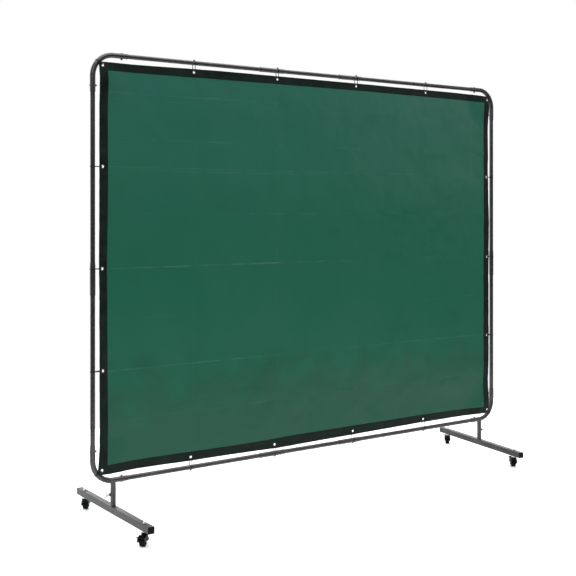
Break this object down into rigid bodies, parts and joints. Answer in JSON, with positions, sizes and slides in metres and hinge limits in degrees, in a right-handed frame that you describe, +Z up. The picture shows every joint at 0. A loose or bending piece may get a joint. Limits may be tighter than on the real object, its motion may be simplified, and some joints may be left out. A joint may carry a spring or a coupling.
{
  "type": "welding curtain screen",
  "caption": "Rolling welding screen: a tinted vinyl curtain with a black hem, tied by its grommets into a round-tube frame on two T-feet with braked swivel casters.",
  "frame": {"origin": "on the floor under the middle of the screen", "axes": "+X along the screen, +Y through it away from its front face, +Z up"},
  "size_m": [2.5224, 0.734, 2.1132],
  "materials": {
    "frame_paint": "dark gunmetal-grey semi-gloss powder coat",
    "foot_paint": "mid-grey satin powder coat",
    "zinc_steel": "bright zinc plating",
    "black_steel": "black oxide",
    "eyelet_metal": "black-plated brass eyelet, satin",
    "vinyl_sheet": "dark green tinted flexible vinyl, satin gloss with fold creases",
    "vinyl_hem": "black folded vinyl hem, satin, stitched",
    "tie_nylon": "black nylon, satin",
    "black_plastic": "black moulded nylon, satin",
    "tyre_rubber": "dark grey thermoplastic rubber, matt"
  },
  "bodies": {
    "frame": {"corner_top_left": "frame_paint", "corner_top_right": "frame_paint", "corner_bottom_left": "frame_paint", "corner_bottom_right": "frame_paint", "rail_top_left": "frame_paint", "rail_top_middle": "frame_paint", "rail_top_right": "frame_paint", "rail_bottom_left": "frame_paint", "rail_bottom_middle": "frame_paint", "rail_bottom_right": "frame_paint", "side_left_lower": "frame_paint", "side_left_upper": "frame_paint", "side_right_lower": "frame_paint", "side_right_upper": "frame_paint", "frame_bolts": "zinc_steel", "frame_nuts": "zinc_steel", "leg_nuts": "black_steel", "curtain_panel": "vinyl_sheet", "curtain_hem": "vinyl_hem", "grommets": "eyelet_metal", "cable_ties": "tie_nylon"},
    "foot_left": {"foot_left_tube": "foot_paint", "foot_left_spigot": "foot_paint", "foot_left_plugs": "black_plastic", "foot_left_stem_nuts": "zinc_steel", "caster_left_near_stem": "zinc_steel", "caster_left_far_stem": "zinc_steel"},
    "foot_right": {"foot_right_tube": "foot_paint", "foot_right_spigot": "foot_paint", "foot_right_plugs": "black_plastic", "foot_right_stem_nuts": "zinc_steel", "caster_right_near_stem": "zinc_steel", "caster_right_far_stem": "zinc_steel"},
    "wing_bolt_left": {"wing_bolt_left": "zinc_steel"},
    "wing_bolt_right": {"wing_bolt_right": "zinc_steel"},
    "swivel_left_near": {"caster_left_near_fork": "black_plastic", "caster_left_near_axle": "zinc_steel"},
    "wheel_left_near": {"caster_left_near_hub": "black_plastic", "caster_left_near_tyre": "tyre_rubber"},
    "pedal_left_near": {"caster_left_near_pedal": "black_plastic"},
    "swivel_left_far": {"caster_left_far_fork": "black_plastic", "caster_left_far_axle": "zinc_steel"},
    "wheel_left_far": {"caster_left_far_hub": "black_plastic", "caster_left_far_tyre": "tyre_rubber"},
    "pedal_left_far": {"caster_left_far_pedal": "black_plastic"},
    "swivel_right_near": {"caster_right_near_fork": "black_plastic", "caster_right_near_axle": "zinc_steel"},
    "wheel_right_near": {"caster_right_near_hub": "black_plastic", "caster_right_near_tyre": "tyre_rubber"},
    "pedal_right_near": {"caster_right_near_pedal": "black_plastic"},
    "swivel_right_far": {"caster_right_far_fork": "black_plastic", "caster_right_far_axle": "zinc_steel"},
    "wheel_right_far": {"caster_right_far_hub": "black_plastic", "caster_right_far_tyre": "tyre_rubber"},
    "pedal_right_far": {"caster_right_far_pedal": "black_plastic"}
  },
  "joints": [
    {"name": "foot_left_turn", "type": "hinge", "parent": "frame", "child": "foot_left", "pos_m": [-1.146, 0, 0.091], "axis": [0, 0, 1], "range_deg": [-90, 90]},
    {"name": "foot_right_turn", "type": "hinge", "parent": "frame", "child": "foot_right", "pos_m": [1.146, 0, 0.091], "axis": [0, 0, 1], "range_deg": [-82, 98]},
    {"name": "wing_bolt_left_turn", "type": "hinge", "parent": "frame", "child": "wing_bolt_left", "pos_m": [-1.176, 0, 0.143], "axis": [-1, 0, 0], "range_deg": [0, 810]},
    {"name": "wing_bolt_right_turn", "type": "hinge", "parent": "frame", "child": "wing_bolt_right", "pos_m": [1.176, 0, 0.143], "axis": [1, 0, 0], "range_deg": [0, 810]},
    {"name": "swivel_left_near_turn", "type": "hinge", "parent": "foot_left", "child": "swivel_left_near", "pos_m": [-1.146, -0.306, 0.055], "axis": [0, 0, 1], "continuous": true},
    {"name": "wheel_left_near_spin", "type": "hinge", "parent": "swivel_left_near", "child": "wheel_left_near", "pos_m": [-1.15902, -0.31693, 0.02], "axis": [0.6428, -0.766, 0], "continuous": true},
    {"name": "pedal_left_near_press", "type": "hinge", "parent": "swivel_left_near", "child": "pedal_left_near", "pos_m": [-1.17128, -0.32721, 0.037], "axis": [0.6428, -0.766, 0], "range_deg": [0, 25]},
    {"name": "swivel_left_far_turn", "type": "hinge", "parent": "foot_left", "child": "swivel_left_far", "pos_m": [-1.146, 0.306, 0.055], "axis": [0, 0, 1], "continuous": true},
    {"name": "wheel_left_far_spin", "type": "hinge", "parent": "swivel_left_far", "child": "wheel_left_far", "pos_m": [-1.13577, 0.31958, 0.02], "axis": [-0.7986, 0.6018, 0], "continuous": true},
    {"name": "pedal_left_far_press", "type": "hinge", "parent": "swivel_left_far", "child": "pedal_left_far", "pos_m": [-1.12614, 0.33236, 0.037], "axis": [-0.7986, 0.6018, 0], "range_deg": [0, 25]},
    {"name": "swivel_right_near_turn", "type": "hinge", "parent": "foot_right", "child": "swivel_right_near", "pos_m": [1.10341, -0.30302, 0.055], "axis": [0, 0, 1], "continuous": true},
    {"name": "wheel_right_near_spin", "type": "hinge", "parent": "swivel_right_near", "child": "wheel_right_near", "pos_m": [1.11242, -0.28861, 0.02], "axis": [-0.848, 0.5299, 0], "continuous": true},
    {"name": "pedal_right_near_press", "type": "hinge", "parent": "swivel_right_near", "child": "pedal_right_near", "pos_m": [1.1209, -0.27504, 0.037], "axis": [-0.848, 0.5299, 0], "range_deg": [0, 25]},
    {"name": "swivel_right_far_turn", "type": "hinge", "parent": "foot_right", "child": "swivel_right_far", "pos_m": [1.18859, 0.30302, 0.055], "axis": [0, 0, 1], "continuous": true},
    {"name": "wheel_right_far_spin", "type": "hinge", "parent": "swivel_right_far", "child": "wheel_right_far", "pos_m": [1.19951, 0.31605, 0.02], "axis": [-0.766, 0.6428, 0], "continuous": true},
    {"name": "pedal_right_far_press", "type": "hinge", "parent": "swivel_right_far", "child": "pedal_right_far", "pos_m": [1.2098, 0.3283, 0.037], "axis": [-0.766, 0.6428, 0], "range_deg": [0, 25]}
  ]
}
